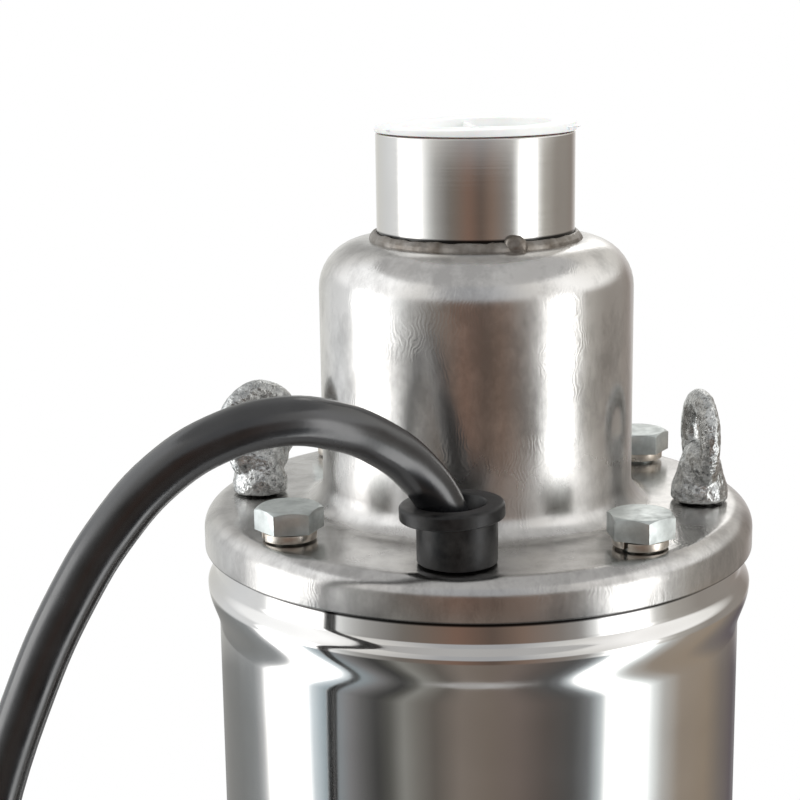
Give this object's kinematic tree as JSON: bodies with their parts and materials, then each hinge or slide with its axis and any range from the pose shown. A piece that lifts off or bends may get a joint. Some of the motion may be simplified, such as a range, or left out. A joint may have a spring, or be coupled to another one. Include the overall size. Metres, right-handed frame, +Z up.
{
  "type": "submersible multistage pump",
  "caption": "Upright submersible pump: slotted suction end, polished steel casing, bolted cover with lifting eyes, bell and outlet socket, and a rubber supply cable.",
  "frame": {"origin": "centre of the foot, on the floor", "axes": "+Z up along the shaft, -Y towards the side where the cable leaves the cover, +X to the right as the picture shows it"},
  "size_m": [0.311, 0.1997, 0.5032],
  "materials": {
    "satin_steel": "satin, hand polished",
    "polished_steel": "bright polished",
    "turned_steel": "finely turned",
    "zinc_plate": "zinc plated",
    "spring_steel": "satin",
    "galvanised_casting": "galvanised, rough cast",
    "grommet_rubber": "matte",
    "cable_rubber": "satin",
    "gasket_rubber": "matte",
    "white_plastic": "matte, moulded",
    "cast_aluminium": "as cast",
    "cast_iron": "as cast, dipped",
    "laminated_steel": "stacked sheets",
    "copper_winding": "varnished copper wire",
    "bearing_steel": "ground",
    "seal_ceramic": "lapped",
    "seal_carbon": "lapped carbon and rubber",
    "stage_plastic": "moulded, glass filled",
    "capacitor_can": "satin",
    "plug_rubber": "matte",
    "nickel_brass": "nickel plated"
  },
  "bodies": {
    "pump_housing": {"top_cover": "satin_steel", "outlet_socket": "turned_steel", "cover_bolt_1": "zinc_plate", "cover_bolt_2": "zinc_plate", "cover_bolt_3": "zinc_plate", "cover_bolt_4": "zinc_plate", "spring_washer_1": "spring_steel", "spring_washer_2": "spring_steel", "spring_washer_3": "spring_steel", "spring_washer_4": "spring_steel", "eye_bolt_left": "galvanised_casting", "eye_bolt_right": "galvanised_casting", "cable_grommet": "grommet_rubber", "supply_cable": "cable_rubber", "cable_coil": "cable_rubber", "cable_tail": "cable_rubber", "plug_body": "plug_rubber", "plug_pin_left": "nickel_brass", "plug_pin_right": "nickel_brass", "outer_casing": "polished_steel", "casing_gasket": "gasket_rubber", "top_bracket": "cast_aluminium", "capacitor": "capacitor_can", "upper_bearing_plate": "cast_aluminium", "upper_bearing_outer": "bearing_steel", "wave_spring": "spring_steel", "motor_shell": "satin_steel", "stator_core": "laminated_steel", "stator_winding": "copper_winding", "lower_bearing_outer": "bearing_steel", "lower_bracket": "cast_iron", "oil_chamber": "cast_iron", "oil_screw": "nickel_brass", "seal_seat_upper": "seal_ceramic", "seal_seat_lower": "seal_ceramic", "stage_bowl_1": "stage_plastic", "stage_bowl_2": "stage_plastic", "stage_bowl_3": "stage_plastic", "diffuser_1": "stage_plastic", "diffuser_2": "stage_plastic", "diffuser_3": "stage_plastic", "suction_plate": "cast_iron", "strainer": "satin_steel", "base_foot": "satin_steel", "tie_bolt_1": "zinc_plate", "tie_bolt_2": "zinc_plate", "tie_bolt_3": "zinc_plate", "tie_bolt_4": "zinc_plate"},
    "rotor": {"shaft": "bearing_steel", "rotor_core": "laminated_steel", "upper_bearing_inner": "bearing_steel", "lower_bearing_inner": "bearing_steel", "seal_head_upper": "seal_carbon", "seal_head_lower": "seal_carbon", "impeller_1": "stage_plastic", "impeller_2": "stage_plastic", "impeller_3": "stage_plastic", "impeller_nut": "bearing_steel"},
    "cap": {"outlet_cap": "white_plastic"}
  },
  "joints": [
    {"name": "rotor_spin", "type": "hinge", "parent": "pump_housing", "child": "rotor", "pos_m": [0, 0, 0.2], "axis": [0, 0, 1], "continuous": true},
    {"name": "outlet_cap_lift", "type": "slide", "parent": "pump_housing", "child": "cap", "axis": [0, 0, 1], "range_m": [0, 0.05]}
  ]
}
